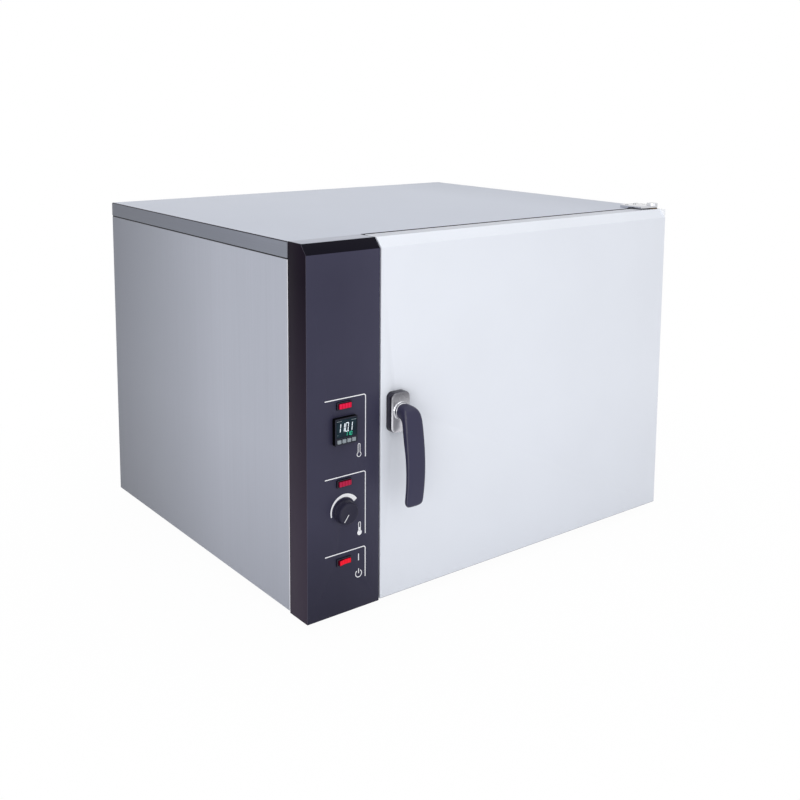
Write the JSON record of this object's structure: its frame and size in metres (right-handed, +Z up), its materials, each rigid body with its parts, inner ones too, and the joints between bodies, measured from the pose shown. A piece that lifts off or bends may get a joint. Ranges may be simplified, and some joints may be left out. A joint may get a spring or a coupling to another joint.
{
  "type": "laboratory oven",
  "caption": "Bench laboratory oven with a side-hinged door, lever latch, control column with display, lamps and knob, and a fan-circulated steel chamber.",
  "frame": {"origin": "middle of the bounding box in plan, at the height of the bench under the feet", "axes": "+X along the width to the right as seen from the front, the door and controls face -Y, +Z up"},
  "size_m": [0.95, 0.8868, 0.696],
  "materials": {
    "satin_steel": "fine satin grain",
    "galvanised_steel": "dull sheet",
    "foot_rubber": "matt",
    "stainless_steel": "bright rolled",
    "mineral_wool": "loose fibre",
    "bare_steel": "turned",
    "motor_paint": "matt",
    "relay_aluminium": "extruded",
    "bush_brass": "turned",
    "pale_moulding": "moulded",
    "black_paint": "satin powder coat",
    "black_plastic": "satin",
    "display_glass": "clear window over a dark display",
    "grey_key": "rubber touch",
    "red_plastic": "lit lens",
    "white_paint": "satin powder coat",
    "silicone": "matt",
    "chrome_plate": "polished",
    "lever_black": "satin"
  },
  "bodies": {
    "casing": {"lid": "satin_steel", "left_side_panel": "satin_steel", "right_side_panel": "satin_steel", "rear_panel": "satin_steel", "front_bulkhead": "satin_steel", "column_cap": "satin_steel", "base_pan": "galvanised_steel", "bay_wall": "galvanised_steel", "rear_bulkhead": "galvanised_steel", "foot_front_left": "foot_rubber", "foot_front_right": "foot_rubber", "foot_rear_left": "foot_rubber", "foot_rear_right": "foot_rubber", "chamber_liner": "stainless_steel", "shelf_rack_left": "stainless_steel", "shelf_rack_right": "stainless_steel", "lower_shelf": "stainless_steel", "upper_shelf": "stainless_steel", "air_baffle": "stainless_steel", "vent_tube": "stainless_steel", "insulation_sleeve": "mineral_wool", "insulation_rear": "mineral_wool", "heater_element": "bare_steel", "control_probe": "bare_steel", "latch_keeper": "bare_steel", "fan_motor": "motor_paint", "solid_state_relay": "relay_aluminium", "safety_probe": "bush_brass", "terminal_block": "pale_moulding", "thermostat_body": "pale_moulding", "column_fascia": "black_paint", "controller_case": "black_plastic", "heating_lamp_body": "black_plastic", "safety_lamp_body": "black_plastic", "power_switch_frame": "black_plastic", "power_inlet": "black_plastic", "controller_display": "display_glass", "heating_lamp_lens": "red_plastic", "safety_lamp_lens": "red_plastic", "door_gasket": "silicone", "top_hinge_bracket": "chrome_plate", "bottom_hinge_bracket": "chrome_plate"},
    "door": {"door_skin": "white_paint", "door_inner_panel": "stainless_steel", "door_insulation": "mineral_wool", "top_hinge_bush": "bush_brass", "bottom_hinge_bush": "bush_brass", "latch_housing": "chrome_plate"},
    "latch": {"latch_lever": "lever_black", "latch_spindle": "chrome_plate", "latch_cam": "bare_steel"},
    "fan": {"fan_wheel": "stainless_steel", "fan_shaft": "bare_steel"},
    "safety_knob": {"thermostat_knob": "black_plastic", "thermostat_shaft": "bare_steel"},
    "power_rocker": {"power_switch_rocker": "red_plastic"},
    "key_1": {"controller_key_1": "grey_key"},
    "key_2": {"controller_key_2": "grey_key"},
    "key_3": {"controller_key_3": "grey_key"},
    "key_4": {"controller_key_4": "grey_key"}
  },
  "joints": [
    {"name": "door_swing", "type": "hinge", "parent": "casing", "child": "door", "pos_m": [0.447, -0.34906, 0.35], "axis": [0, 0, 1], "range_deg": [0, 125]},
    {"name": "latch_turn", "type": "hinge", "parent": "door", "child": "latch", "pos_m": [-0.285, -0.40056, 0.371], "axis": [0, -1, 0], "range_deg": [0, 90]},
    {"name": "fan_spin", "type": "hinge", "parent": "casing", "child": "fan", "pos_m": [0.08, 0.23444, 0.34], "axis": [0, 1, 0], "continuous": true},
    {"name": "safety_knob_turn", "type": "hinge", "parent": "casing", "child": "safety_knob", "pos_m": [-0.398, -0.37756, 0.2045], "axis": [0, 1, 0], "range_deg": [0, 200]},
    {"name": "power_rocker_tilt", "type": "hinge", "parent": "casing", "child": "power_rocker", "pos_m": [-0.398, -0.37456, 0.1115], "axis": [0, 0, 1], "range_deg": [-12, 0]},
    {"name": "key_1_press", "type": "slide", "parent": "casing", "child": "key_1", "axis": [0, 1, 0], "range_m": [0, 0.0008], "stiffness_N_per_m": 400},
    {"name": "key_2_press", "type": "slide", "parent": "casing", "child": "key_2", "axis": [0, 1, 0], "range_m": [0, 0.0008], "stiffness_N_per_m": 400},
    {"name": "key_3_press", "type": "slide", "parent": "casing", "child": "key_3", "axis": [0, 1, 0], "range_m": [0, 0.0008], "stiffness_N_per_m": 400},
    {"name": "key_4_press", "type": "slide", "parent": "casing", "child": "key_4", "axis": [0, 1, 0], "range_m": [0, 0.0008], "stiffness_N_per_m": 400}
  ]
}
